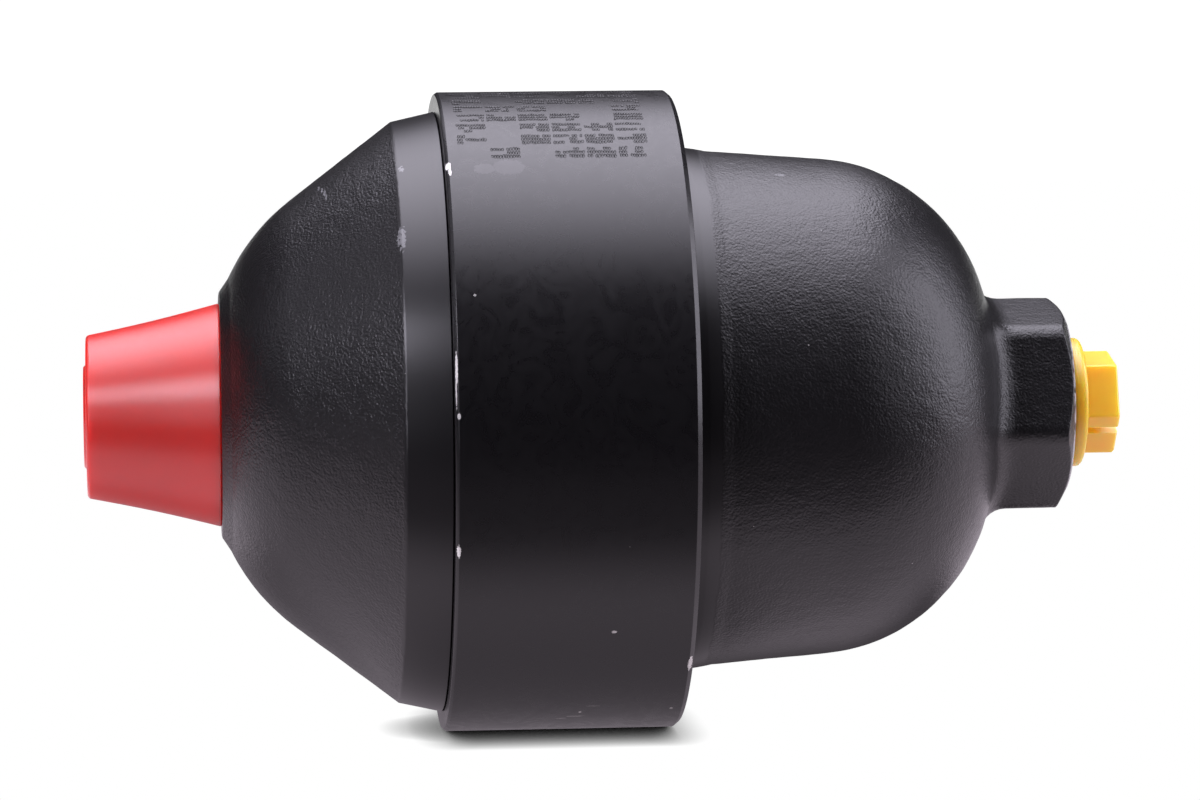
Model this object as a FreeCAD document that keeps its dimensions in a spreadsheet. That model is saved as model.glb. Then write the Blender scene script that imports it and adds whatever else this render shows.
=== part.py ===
"""Screwed diaphragm accumulator of about half a litre, lying with its axis along X.

The gas end points to -X and the fluid port to +X. The origin is on the axis, in the
middle of the union nut, where a clamp would hold the accumulator. All sizes are in
millimetres and degrees, and each piece is drawn from the face that it seats on.
"""
import FreeCAD, Part

import os
import re

import Sketcher

V = FreeCAD.Vector
TOLERANCE = 0.001

# Driving sizes of each piece, as (name, value). A value with = follows other sizes.
NUT_SIZES = [
    ("nut_radius", "59"),
    ("nut_length", "43.2"),
    ("nut_edge_length", "1.1"),
    ("nut_edge_depth", "0.7"),
    ("nut_lip_length", "10.2"),
    ("nut_bore_chamfer", "0.8"),
    ("lip_clearance", "0.35"),
    ("nut_wall", "6.5"),
    ("thread_clearance", "0.1"),
    ("thread_relief_depth", "1.2"),
    ("thread_relief_length", "3"),
    ("thread_radius", "=nut_radius - nut_wall"),
    ("nut_left", "=-nut_length / 2"),
    ("nut_right", "=nut_length / 2"),
    ("lip_face", "=nut_right - nut_lip_length"),
    ("lip_bore", "=band_radius + lip_clearance"),
    ("nut_bore", "=thread_radius + thread_clearance"),
    ("joint_face", "=lip_face - flange_thickness"),
    ("cut_margin", "1"),
]
FLUID_SIZES = [
    ("flange_thickness", "9.4"),
    ("flange_relief", "0.6"),
    ("flange_height", "4.1"),
    ("band_end", "23.3"),
    ("step_length", "3.2"),
    ("step_depth", "0.75"),
    ("draft", "4.5"),
    ("dome_start", "48.3"),
    ("dome_centre_radius", "13.1"),
    ("dome_end_angle", "71"),
    ("shell_wall", "8.5"),
    ("boss_length", "16.2"),
    ("hex_across_flats", "35.6"),
    ("hex_turn", "13"),
    ("hex_corner_round", "4"),
    ("hex_root_round", "3.2"),
    ("hex_face_radius", "16.8"),
    ("hex_chamfer_angle", "30"),
    ("recess_depth", "4.5"),
    ("recess_clearance", "0.5"),
    ("passage_radius", "4"),
    ("port_bore", "8.3"),
    ("port_depth", "13.5"),
    ("port_mouth_radius", "9.4"),
    ("port_mouth_depth", "1.1"),
    ("band_radius", "=thread_radius - flange_height"),
    ("forged_radius", "=band_radius - step_depth"),
    ("forged_start", "=band_end + step_length"),
    ("dome_start_radius", "=forged_radius - (dome_start - forged_start) * tan(draft * 1 deg)"),
    ("dome_radius", "=(dome_start_radius - dome_centre_radius) / cos(draft * 1 deg)"),
    ("dome_centre", "=dome_start - dome_radius * sin(draft * 1 deg)"),
    ("dome_end", "=dome_centre + dome_radius * sin(dome_end_angle * 1 deg)"),
    ("dome_end_radius", "=dome_centre_radius + dome_radius * cos(dome_end_angle * 1 deg)"),
    ("nose_radius", "=hex_across_flats / 4"),
    ("nose_end", "=dome_end + (dome_end_radius - nose_radius) / tan(dome_end_angle * 1 deg)"),
    ("cavity_round", "=dome_radius - shell_wall"),
    ("cavity_end", "=dome_centre + cavity_round"),
    ("recess_floor", "=cavity_end + recess_depth"),
    ("fluid_length", "=dome_end + boss_length"),
    ("port_face", "=joint_face + fluid_length"),
]
GAS_SIZES = [
    ("shoulder_gap", "0.5"),
    ("shoulder_drop", "3.6"),
    ("gas_band_length", "7.5"),
    ("gas_band_angle", "13.2"),
    ("cone_angle", "37.4"),
    ("cone_run", "23.8"),
    ("gas_dome_radius", "39"),
    ("gas_face_radius", "21"),
    ("gas_end_wall", "10.2"),
    ("gas_cavity_flat", "4.6"),
    ("stub_radius", "14"),
    ("stub_chamfer", "1.2"),
    ("stub_relief_depth", "1.2"),
    ("stub_relief_length", "2.5"),
    ("screw_pocket_depth", "7"),
    ("screw_pocket_clearance", "0.5"),
    ("screw_bore_clearance", "0.1"),
    ("screw_bore_depth", "13"),
    ("gas_hole_radius", "1.5"),
    ("shoulder_radius", "=nut_radius - shoulder_drop"),
    ("shoulder_face", "=nut_left - shoulder_gap - joint_face"),
    ("band_start", "=shoulder_face - gas_band_length"),
    ("band_start_radius", "=shoulder_radius - gas_band_length * tan(gas_band_angle * 1 deg)"),
    ("cone_end", "=band_start - cone_run * cos(cone_angle * 1 deg)"),
    ("cone_end_radius", "=band_start_radius - cone_run * sin(cone_angle * 1 deg)"),
    ("gas_dome_centre", "=cone_end + gas_dome_radius * sin(cone_angle * 1 deg)"),
    ("gas_dome_centre_radius", "=cone_end_radius - gas_dome_radius * cos(cone_angle * 1 deg)"),
    ("face_rise", "=gas_face_radius - gas_dome_centre_radius"),
    ("gas_length", "=sqrt(gas_dome_radius ^ 2 - face_rise ^ 2) - gas_dome_centre"),
    ("gas_cavity_depth", "=gas_length - gas_end_wall"),
    ("gas_face", "=joint_face - gas_length"),
    ("stub_length", "=cap_length - cap_wall - cap_bottom_gap"),
    ("stub_end", "=-gas_length - stub_length"),
]
INNER_SIZES = [
    ("diaphragm_thickness", "2.2"),
    ("diaphragm_clearance", "0.2"),
    ("bead_depth", "5.5"),
    ("bead_reach", "3.8"),
    ("bead_clearance", "0.1"),
    ("button_radius", "11"),
    ("button_thickness", "4.3"),
    ("button_edge", "0.8"),
    ("button_stem_radius", "3.9"),
    ("button_fit", "0.1"),
    ("button_head_radius", "8"),
    ("button_head_thickness", "1.8"),
    ("skin_round", "=cavity_round - diaphragm_clearance"),
    ("lining_round", "=skin_round - diaphragm_thickness"),
    ("skin_end", "=dome_centre + skin_round"),
    ("lining_end", "=dome_centre + lining_round"),
    ("mouth_rise", "=dome_centre_radius + dome_centre * tan(draft * 1 deg)"),
    ("cavity_mouth", "=mouth_rise + cavity_round / cos(draft * 1 deg)"),
    ("skin_mouth", "=mouth_rise + skin_round / cos(draft * 1 deg)"),
    ("lining_mouth", "=mouth_rise + lining_round / cos(draft * 1 deg)"),
    ("bead_radius", "=lining_mouth + diaphragm_thickness + bead_reach"),
    ("gas_cavity_round", "=lining_mouth - gas_cavity_flat"),
    ("button_back", "=cavity_end - skin_end + recess_depth - button_fit"),
    ("button_place", "=joint_face + recess_floor"),
]
SCREW_SIZES = [
    ("screw_head_radius", "8.6"),
    ("screw_head_length", "5.2"),
    ("screw_head_chamfer", "0.5"),
    ("screw_radius", "4.9"),
    ("screw_length", "10.5"),
    ("socket_across_flats", "6"),
    ("socket_depth", "3.8"),
    ("seal_thickness", "1.5"),
    ("seal_bore", "5.3"),
    ("seal_place", "=joint_face + stub_end + screw_pocket_depth"),
    ("screw_place", "=seal_place - seal_thickness"),
]
CAP_SIZES = [
    ("cap_length", "24.5"),
    ("cap_rim_radius", "20.6"),
    ("cap_wall", "1.2"),
    ("cap_grip", "0.25"),
    ("cap_bottom_gap", "0.3"),
    ("cap_edge", "0.7"),
    ("cap_disc_radius", "9.7"),
    ("cap_disc_height", "0.5"),
    ("cap_end_radius", "=stub_radius + cap_wall - cap_grip"),
    ("cap_slope", "=(cap_rim_radius - cap_end_radius) / cap_length"),
    ("cap_floor", "=cap_length - cap_wall"),
]
PLUG_SIZES = [
    ("plug_neck_radius", "10.4"),
    ("plug_neck_length", "0.5"),
    ("plug_flange_radius", "12"),
    ("plug_flange_thickness", "2.85"),
    ("plug_flange_edge", "0.8"),
    ("plug_shank_clearance", "0.15"),
    ("plug_shank_length", "11"),
    ("plug_across_flats", "17"),
    ("plug_turn", "11.6"),
    ("plug_hex_length", "6.2"),
    ("plug_hex_face_radius", "9.3"),
    ("plug_hex_chamfer_angle", "45"),
    ("plug_bore", "6.5"),
    ("plug_floor", "2"),
    ("slot_width", "1.6"),
    ("slot_turn", "33"),
    ("plug_shank_radius", "=port_bore - plug_shank_clearance"),
    ("plug_hex_start", "=plug_neck_length + plug_flange_thickness"),
    ("plug_end", "=plug_hex_start + plug_hex_length"),
]
ALL_SIZES = NUT_SIZES + FLUID_SIZES + GAS_SIZES + INNER_SIZES + SCREW_SIZES + CAP_SIZES + PLUG_SIZES

doc = FreeCAD.newDocument("accumulator")
sheet = doc.addObject("Spreadsheet::Sheet", "Sizes")
for row, (alias, value) in enumerate(ALL_SIZES, start=1):
    sheet.set(f"A{row}", alias)
    sheet.setAlias(f"B{row}", alias)
for row, (alias, value) in enumerate(ALL_SIZES, start=1):
    sheet.set(f"B{row}", value)
doc.recompute()

ALIAS = re.compile(r"\b(" + "|".join(alias for alias, value in ALL_SIZES) + r")\b")


def bound(text):
    """An expression with each size named as a cell of the sheet."""
    return ALIAS.sub(r"Sizes.\1", text)


def number(text):
    """The present value of an expression."""
    return float(sheet.evalExpression(text))


def new_body(label, place="0"):
    """A body whose own origin lies on the axis at x = place."""
    body = doc.addObject("PartDesign::Body", label)
    body.Label = label
    body.setExpression("Placement.Base.x", bound(place))
    return body


def new_sketch(body, name, role="XY_Plane", offset="0", turn="0"):
    """A sketch on one of the body's own planes, moved and turned about its normal."""
    plane = [f for f in body.Origin.OriginFeatures if f.Role == role][0]
    sketch = body.newObject("Sketcher::SketchObject", name)
    sketch.AttachmentSupport = (plane, [""])
    sketch.MapMode = "FlatFace"
    sketch.setExpression("AttachmentOffset.Base.z", bound(offset))
    sketch.setExpression("AttachmentOffset.Rotation.Angle", bound(f"{turn} * 1 deg"))
    return sketch


def hold(sketch, kind, geometry, text):
    """Tie one coordinate of a line's or arc's corner to an expression."""
    index, end = geometry
    if text == "0":
        axis = -1 if kind == "DistanceY" else -2
        sketch.addConstraint(Sketcher.Constraint("PointOnObject", index, end, axis))
        return
    made = sketch.addConstraint(Sketcher.Constraint(kind, -1, 1, index, end, number(text)))
    sketch.setExpression(f"Constraints[{made}]", bound(text))


def arc_between(start, end, radius):
    """The minor arc from start to end: anticlockwise if radius is above 0."""
    middle = (start + end) * 0.5
    chord = end - start
    rise = (radius * radius - chord.Length * chord.Length / 4) ** 0.5
    side = V(-chord.y, chord.x, 0).normalize() * rise
    centre = middle + side if radius > 0 else middle - side
    first, last = (start, end) if radius > 0 else (end, start)
    circle = Part.Circle(centre, V(0, 0, 1), abs(radius))
    return Part.ArcOfCircle(circle, circle.parameter(first), circle.parameter(last))


def draw(sketch, corners):
    """A closed outline. A corner is (x, y), or (x, y, radius) where an arc leads to it."""
    points = [V(number(corner[0]), number(corner[1]), 0) for corner in corners]
    ends = []
    for i, corner in enumerate(corners):
        start = points[i - 1]
        if len(corner) == 2:
            made = sketch.addGeometry(Part.LineSegment(start, points[i]), False)
            ends.append((made, 1, 2))
            continue
        radius = number(corner[2])
        made = sketch.addGeometry(arc_between(start, points[i], radius), False)
        ends.append((made, 1, 2) if radius > 0 else (made, 2, 1))
        size = sketch.addConstraint(Sketcher.Constraint("Radius", made, abs(radius)))
        sketch.setExpression(f"Constraints[{size}]", bound(corner[2].lstrip("-")))
    for i, corner in enumerate(corners):
        index, start, end = ends[i]
        following = ends[(i + 1) % len(ends)]
        sketch.addConstraint(Sketcher.Constraint("Coincident", index, end, following[0], following[1]))
        hold(sketch, "DistanceX", (index, end), corner[0])
        hold(sketch, "DistanceY", (index, end), corner[1])


def turned(body, name, corners, kind="PartDesign::Revolution"):
    """A profile of (x, radius) corners turned once about the axis."""
    sketch = new_sketch(body, name + "_profile")
    draw(sketch, corners)
    feature = body.newObject(kind, name)
    feature.Profile = sketch
    feature.ReferenceAxis = (sketch, ["H_Axis"])
    feature.Angle = 360
    return feature


def bored(body, name, corners):
    """Material turned away inside a profile of (x, radius) corners."""
    return turned(body, name, corners, "PartDesign::Groove")


def hexagon(body, name, across_flats, turn, start, length, kind="PartDesign::Pad", back=False):
    """A hexagonal prism along the axis from x = start, or a pocket of that form."""
    sketch = new_sketch(body, name + "_outline", "YZ_Plane", start, turn)
    corner_radius = f"{across_flats} / sqrt(3)"
    corners = []
    for step in range(6):
        angle = f"{60 * step} * 1 deg"
        corners.append((f"{corner_radius} * cos({angle})", f"{corner_radius} * sin({angle})"))
    draw(sketch, corners)
    feature = body.newObject(kind, name)
    feature.Profile = sketch
    feature.setExpression("Length", bound(length))
    feature.Reversed = back
    return feature


def rounded(body, name, base, radius, wanted):
    """A fillet on the edges of the last feature that wanted(edge) picks."""
    doc.recompute()
    picked = [f"Edge{i}" for i, edge in enumerate(base.Shape.Edges, start=1) if wanted(edge)]
    fillet = body.newObject("PartDesign::Fillet", name)
    fillet.Base = (base, picked)
    fillet.setExpression("Radius", bound(radius))
    return fillet


def make_union_nut():
    """The smooth ring: a thread towards the gas end, and a thick lip at the fluid end."""
    body = new_body("union_nut")
    turned(body, "ring", [
        ("nut_left", "nut_bore + nut_bore_chamfer"),
        ("nut_left", "nut_radius - nut_edge_depth"),
        ("nut_left + nut_edge_length", "nut_radius"),
        ("nut_right - nut_edge_length", "nut_radius"),
        ("nut_right", "nut_radius - nut_edge_depth"),
        ("nut_right", "lip_bore + nut_bore_chamfer"),
        ("nut_right - nut_bore_chamfer", "lip_bore"),
        ("lip_face", "lip_bore"),
        ("lip_face", "nut_bore + thread_relief_depth"),
        ("lip_face - thread_relief_length", "nut_bore + thread_relief_depth"),
        ("lip_face - thread_relief_length - thread_relief_depth", "nut_bore"),
        ("nut_left + nut_bore_chamfer", "nut_bore"),
    ])
    return body


def make_fluid_shell():
    """Flange, machined band, drafted forging with a dome, and the hexagon port boss."""
    body = new_body("fluid_shell", "joint_face")
    turned(body, "forging", [
        ("0", "0"),
        ("0", "thread_radius - flange_relief"),
        ("flange_thickness", "thread_radius - flange_relief"),
        ("flange_thickness", "band_radius"),
        ("band_end", "band_radius"),
        ("forged_start", "forged_radius"),
        ("dome_start", "dome_start_radius"),
        ("dome_end", "dome_end_radius", "-dome_radius"),
        ("nose_end", "nose_radius"),
        ("nose_end", "0"),
    ])
    boss = hexagon(body, "port_boss", "hex_across_flats", "hex_turn",
                   "dome_centre", "fluid_length - dome_centre")
    dome_end = number("dome_end")
    nose_end = number("nose_end")

    def on_corner(edge):
        straight = edge.Curve.TypeId == "Part::GeomLine"
        return straight and edge.BoundBox.XMin > dome_end and edge.BoundBox.XLength > nose_end - dome_end

    def on_root(edge):
        return edge.BoundBox.XMin > dome_end + TOLERANCE and edge.BoundBox.XMax < nose_end

    corners = rounded(body, "boss_corners", boss, "hex_corner_round", on_corner)
    rounded(body, "boss_root", corners, "hex_root_round", on_root)
    outside = "hex_across_flats / sqrt(3) + cut_margin"
    bored(body, "boss_chamfer", [
        ("fluid_length", "hex_face_radius"),
        (f"fluid_length - ({outside} - hex_face_radius) * tan(hex_chamfer_angle * 1 deg)", outside),
        ("fluid_length", outside),
    ])
    bored(body, "cavity", [
        ("0", "0"),
        ("0", "cavity_mouth"),
        ("dome_centre + cavity_round * sin(draft * 1 deg)",
         "dome_centre_radius + cavity_round * cos(draft * 1 deg)"),
        ("cavity_end", "dome_centre_radius", "-cavity_round"),
        ("cavity_end", "button_radius + recess_clearance"),
        ("recess_floor", "button_radius + recess_clearance"),
        ("recess_floor", "0"),
    ])
    bored(body, "port", [
        ("recess_floor - cut_margin", "0"),
        ("recess_floor - cut_margin", "passage_radius"),
        ("fluid_length - port_depth", "passage_radius"),
        ("fluid_length - port_depth", "port_bore"),
        ("fluid_length - port_mouth_depth", "port_bore"),
        ("fluid_length", "port_mouth_radius"),
        ("fluid_length", "0"),
    ])
    return body


def make_gas_shell():
    """Threaded mouth, shoulder, machined band, forged cone and dome, and the gas stub."""
    body = new_body("gas_shell", "joint_face")
    turned(body, "forging", [
        ("0", "0"),
        ("stub_end", "0"),
        ("stub_end", "stub_radius - stub_chamfer"),
        ("stub_end + stub_chamfer", "stub_radius"),
        ("-gas_length - stub_relief_length", "stub_radius"),
        ("-gas_length - stub_relief_length", "stub_radius - stub_relief_depth"),
        ("-gas_length", "stub_radius - stub_relief_depth"),
        ("-gas_length", "gas_face_radius"),
        ("cone_end", "cone_end_radius", "-gas_dome_radius"),
        ("band_start", "band_start_radius"),
        ("shoulder_face", "shoulder_radius"),
        ("shoulder_face", "thread_radius - thread_relief_depth"),
        ("shoulder_face + thread_relief_length", "thread_radius - thread_relief_depth"),
        ("shoulder_face + thread_relief_length", "thread_radius"),
        ("-nut_bore_chamfer", "thread_radius"),
        ("0", "thread_radius - nut_bore_chamfer"),
    ])
    bored(body, "cavity", [
        ("0", "0"),
        ("-gas_cavity_depth", "0"),
        ("-gas_cavity_depth", "lining_mouth - gas_cavity_round"),
        ("gas_cavity_round - gas_cavity_depth", "lining_mouth", "-gas_cavity_round"),
        ("-bead_depth", "lining_mouth"),
        ("-bead_depth", "bead_radius + bead_clearance"),
        ("0", "bead_radius + bead_clearance"),
    ])
    pocket_floor = "stub_end + screw_pocket_depth"
    bored(body, "charging_port", [
        ("stub_end", "0"),
        ("stub_end", "screw_head_radius + screw_pocket_clearance"),
        (pocket_floor, "screw_head_radius + screw_pocket_clearance"),
        (pocket_floor, "screw_radius + screw_bore_clearance"),
        (pocket_floor + " + screw_bore_depth", "screw_radius + screw_bore_clearance"),
        (pocket_floor + " + screw_bore_depth", "gas_hole_radius"),
        ("cut_margin - gas_cavity_depth", "gas_hole_radius"),
        ("cut_margin - gas_cavity_depth", "0"),
    ])
    return body


def make_diaphragm():
    """Rubber cup that lines the fluid shell, with its rim bead between the two shells."""
    body = new_body("diaphragm", "joint_face")
    turned(body, "cup", [
        ("bead_clearance - bead_depth", "lining_mouth"),
        ("bead_clearance - bead_depth", "bead_radius"),
        ("0", "bead_radius"),
        ("0", "skin_mouth"),
        ("dome_centre + skin_round * sin(draft * 1 deg)",
         "dome_centre_radius + skin_round * cos(draft * 1 deg)"),
        ("skin_end", "dome_centre_radius", "-skin_round"),
        ("skin_end", "button_stem_radius + button_fit"),
        ("lining_end", "button_stem_radius + button_fit"),
        ("lining_end", "dome_centre_radius"),
        ("dome_centre + lining_round * sin(draft * 1 deg)",
         "dome_centre_radius + lining_round * cos(draft * 1 deg)", "lining_round"),
        ("0", "lining_mouth"),
    ])
    return body


def make_valve_button():
    """Steel mushroom in the diaphragm's middle: its disc closes the port's passage."""
    body = new_body("valve_button", "button_place")
    neck_end = "-button_back - diaphragm_thickness - 2 * button_fit"
    turned(body, "mushroom", [
        ("0", "0"),
        ("0", "button_radius - button_edge"),
        ("-button_edge", "button_radius"),
        ("-button_back + button_edge", "button_radius"),
        ("-button_back", "button_radius - button_edge"),
        ("-button_back", "button_stem_radius"),
        (neck_end, "button_stem_radius"),
        (neck_end, "button_head_radius"),
        (neck_end + " - button_head_thickness", "button_head_radius"),
        (neck_end + " - button_head_thickness", "0"),
    ])
    return body


def make_charging_screw():
    """Cylinder-head screw with a hexagon socket, pointing into the gas stub."""
    body = new_body("charging_screw", "screw_place")
    turned(body, "blank", [
        ("-screw_head_length", "0"),
        ("-screw_head_length", "screw_head_radius - screw_head_chamfer"),
        ("screw_head_chamfer - screw_head_length", "screw_head_radius"),
        ("0", "screw_head_radius"),
        ("0", "screw_radius"),
        ("screw_length - screw_head_chamfer", "screw_radius"),
        ("screw_length", "screw_radius - screw_head_chamfer"),
        ("screw_length", "0"),
    ])
    hexagon(body, "socket", "socket_across_flats", "0", "-screw_head_length", "socket_depth",
            "PartDesign::Pocket", back=True)
    return body


def make_charging_screw_seal():
    """Flat seal ring under the charging screw's head."""
    body = new_body("charging_screw_seal", "seal_place")
    turned(body, "ring", [
        ("0", "seal_bore"),
        ("-seal_thickness", "seal_bore"),
        ("-seal_thickness", "screw_head_radius"),
        ("0", "screw_head_radius"),
    ])
    return body


def make_gas_cap():
    """Tapered plastic cap pushed over the gas stub, with a raised disc on its end."""
    body = new_body("gas_cap", "gas_face")
    inner_end = "stub_radius - cap_grip + cap_wall * cap_slope"
    turned(body, "shell", [
        ("0", "cap_rim_radius - cap_wall"),
        ("0", "cap_rim_radius"),
        ("cap_edge - cap_length", "cap_end_radius + cap_edge * cap_slope"),
        ("-cap_length", "cap_end_radius - cap_edge", "cap_edge"),
        ("-cap_length", "cap_disc_radius"),
        ("-cap_length - cap_disc_height", "cap_disc_radius - cap_disc_height"),
        ("-cap_length - cap_disc_height", "0"),
        ("-cap_floor", "0"),
        ("-cap_floor", inner_end),
    ])
    return body


def make_port_plug():
    """Plastic screw plug: hollow shank, flange, and a thin hexagon head with a slot."""
    body = new_body("port_plug", "port_face")
    edge = "plug_flange_edge"
    turned(body, "shank", [
        ("-plug_shank_length", "0"),
        ("-plug_shank_length", "plug_shank_radius - plug_flange_edge"),
        ("plug_flange_edge - plug_shank_length", "plug_shank_radius"),
        ("0", "plug_shank_radius"),
        ("0", "plug_neck_radius"),
        ("plug_neck_length", "plug_neck_radius"),
        ("plug_neck_length", f"plug_flange_radius - {edge}"),
        (f"plug_neck_length + {edge}", "plug_flange_radius", f"-{edge}"),
        (f"plug_hex_start - {edge}", "plug_flange_radius"),
        ("plug_hex_start", f"plug_flange_radius - {edge}", f"-{edge}"),
        ("plug_hex_start", "0"),
    ])
    hexagon(body, "head", "plug_across_flats", "plug_turn",
            "plug_neck_length", "plug_end - plug_neck_length")
    outside = "plug_across_flats / sqrt(3) + cut_margin"
    bored(body, "head_chamfer", [
        ("plug_end", "plug_hex_face_radius"),
        (f"plug_end - ({outside} - plug_hex_face_radius) * tan(plug_hex_chamfer_angle * 1 deg)", outside),
        ("plug_end", outside),
    ])
    bored(body, "hollow", [
        ("plug_floor - plug_shank_length", "0"),
        ("plug_floor - plug_shank_length", "plug_bore"),
        ("plug_end", "plug_bore"),
        ("plug_end", "0"),
    ])
    sketch = new_sketch(body, "slot_outline", "YZ_Plane", "plug_hex_start", "slot_turn")
    draw(sketch, [
        ("-plug_across_flats", "-slot_width / 2"),
        ("plug_across_flats", "-slot_width / 2"),
        ("plug_across_flats", "slot_width / 2"),
        ("-plug_across_flats", "slot_width / 2"),
    ])
    slot = body.newObject("PartDesign::Pocket", "slot")
    slot.Profile = sketch
    slot.Reversed = True
    slot.setExpression("Length", bound("plug_hex_length + cut_margin"))
    return body


bodies = [
    make_union_nut(),
    make_fluid_shell(),
    make_gas_shell(),
    make_diaphragm(),
    make_valve_button(),
    make_charging_screw(),
    make_charging_screw_seal(),
    make_gas_cap(),
    make_port_plug(),
]
doc.recompute()

for item in doc.Objects:
    if "Invalid" in item.State or "Error" in item.State:
        raise RuntimeError(f"{item.Name} could not be made: {item.State}")
for body in bodies:
    if body.Shape.isNull() or not body.Shape.isValid():
        raise RuntimeError(f"{body.Label} has no valid shape")
    if len(body.Shape.Solids) != 1:
        raise RuntimeError(f"{body.Label} is not one solid")

os.makedirs("parts", exist_ok=True)
for body in bodies:
    body.Shape.exportStep(f"parts/{body.Label}.step")
    box = body.Shape.BoundBox
    print(f"{body.Label}: {body.Shape.Volume:.0f} mm3, x from {box.XMin:.2f} to {box.XMax:.2f}")
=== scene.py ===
"""Looks of the screwed diaphragm accumulator: painted forgings, smooth nut, plastic cap and plug.

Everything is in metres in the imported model's frame. The axis lies along X, the gas end
points to -X, and the origin is in the middle of the union nut. Angles round the axis are
measured from +Y towards +Z, so the camera stands at 180 degrees. Marks on the paint have
their angle from the camera's side upwards instead.
"""
import math

import bmesh
import bpy
import numpy as np
from mathutils import Matrix, Vector, noise


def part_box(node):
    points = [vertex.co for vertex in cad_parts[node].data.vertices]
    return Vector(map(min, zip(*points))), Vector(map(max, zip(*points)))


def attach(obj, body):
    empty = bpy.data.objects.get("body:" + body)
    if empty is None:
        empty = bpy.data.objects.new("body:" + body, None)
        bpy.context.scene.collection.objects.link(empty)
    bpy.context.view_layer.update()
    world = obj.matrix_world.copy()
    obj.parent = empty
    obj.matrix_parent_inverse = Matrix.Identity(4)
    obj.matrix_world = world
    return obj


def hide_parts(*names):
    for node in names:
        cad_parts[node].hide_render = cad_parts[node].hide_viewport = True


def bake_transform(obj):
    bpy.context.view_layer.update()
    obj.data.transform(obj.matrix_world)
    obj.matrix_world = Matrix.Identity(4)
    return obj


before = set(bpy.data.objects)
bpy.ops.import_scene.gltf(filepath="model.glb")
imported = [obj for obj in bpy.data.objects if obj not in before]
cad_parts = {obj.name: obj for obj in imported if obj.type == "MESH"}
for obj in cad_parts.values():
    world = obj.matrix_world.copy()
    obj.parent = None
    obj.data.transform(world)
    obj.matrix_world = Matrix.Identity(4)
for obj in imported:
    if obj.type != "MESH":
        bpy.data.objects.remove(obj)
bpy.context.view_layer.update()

MM = 0.001
SEGMENTS = 600

# Union nut
NUT_RADIUS = 59 * MM
NUT_HALF = 21.6 * MM
NUT_LEFT_CHAMFER = (0.6 * MM, 0.45 * MM)
NUT_RIGHT_CHAMFER = (0.9 * MM, 0.75 * MM)
NUT_BORE = 52.6 * MM
NUT_BORE_CHAMFER = 0.8 * MM
NUT_GROOVE_DEPTH = 1.2 * MM
NUT_GROOVE_LENGTH = 3 * MM
LIP_BORE = 48.75 * MM
LIP_FACE = 11.4 * MM
EDGE_ROUND = 0.18 * MM
NUT_EDGE_ROUND = 0.22 * MM
NUT_SEGMENTS = 480

# Fluid shell
JOINT_FACE = 2 * MM
FLANGE_RADIUS = 51.9 * MM
FLANGE_LENGTH = 9.4 * MM
BAND_RADIUS = 48.4 * MM
BAND_END = 25.3 * MM
STEP_LEAD = 1.5 * MM
STEP_LENGTH = 3.2 * MM
FORGED_RADIUS = 47.65 * MM
DRAFT = math.radians(4.5)
DOME_START = 50.3 * MM
DOME_CENTRE_RADIUS = 13.1 * MM
DOME_END_ANGLE = math.radians(71)
BOSS_LENGTH = 16.2 * MM
SHELL_WALL = 8.5 * MM
HEX_APOTHEM = 17.8 * MM
HEX_CORNER_ROUND = 4 * MM
HEX_ROOT_ROUND = 5 * MM
HEX_TURN = math.radians(13)
HEX_FACE_RADIUS = 16.8 * MM
HEX_CHAMFER = math.radians(30)
HEX_EDGE_ROUND = 0.35 * MM
HEX_FACE_ROUND = 0.3 * MM
PASSAGE_RADIUS = 4 * MM
PORT_BORE = 8.3 * MM
PORT_DEPTH = 13.5 * MM
PORT_MOUTH_RADIUS = 9.4 * MM
PORT_MOUTH_DEPTH = 1.1 * MM
RECESS_RADIUS = 11.5 * MM
RECESS_DEPTH = 4.5 * MM

# Gas shell
SHOULDER_FACE = -22.1 * MM
SHOULDER_RADIUS = 55.4 * MM
SHOULDER_EDGE = -21.75 * MM
GAS_BAND_LENGTH = 7.5 * MM
GAS_BAND_ANGLE = math.radians(13.2)
CONE_ANGLE = math.radians(37.4)
CONE_RUN = 23.8 * MM
GAS_DOME_RADIUS = 39 * MM
GAS_FACE_RADIUS = 21 * MM
GAS_FACE_EDGE = 22.7 * MM
GAS_FACE_BLEND = 25 * MM
THREAD_RADIUS = 52.5 * MM
THREAD_CHAMFER = 0.8 * MM
GROOVE_DEPTH = 1.2 * MM
GROOVE_LENGTH = 3 * MM
STUB_RADIUS = 14 * MM
STUB_LENGTH = 22.8 * MM
STUB_CHAMFER = 1.2 * MM
STUB_GROOVE_LENGTH = 2.5 * MM
GAS_END_WALL = 10.2 * MM
GAS_CAVITY_ROUND = 34 * MM
GAS_CAVITY_MOUTH = 38.6 * MM
BEAD_DEPTH = 5.5 * MM
BEAD_WIDTH = 6.1 * MM
SCREW_POCKET_RADIUS = 9.1 * MM
SCREW_POCKET_DEPTH = 7 * MM
SCREW_BORE_RADIUS = 5 * MM
SCREW_BORE_DEPTH = 13 * MM
GAS_HOLE_RADIUS = 1.5 * MM

# Gas cap
CAP_LENGTH = 24.5 * MM
CAP_RIM_RADIUS = 20.6 * MM
CAP_END_RADIUS = 14.95 * MM
CAP_WALL = 1.2 * MM
CAP_WAIST = 0.25 * MM
CAP_DISC_RADIUS = 9.7 * MM
CAP_DISC_HEIGHT = 0.5 * MM
CAP_RIM_ROUND = 0.3 * MM
CAP_END_ROUND = 0.8 * MM
CAP_DISC_ROUND = 0.15 * MM
CAP_INSIDE_ROUND = 0.4 * MM
CAP_SEGMENTS = 256

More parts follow.
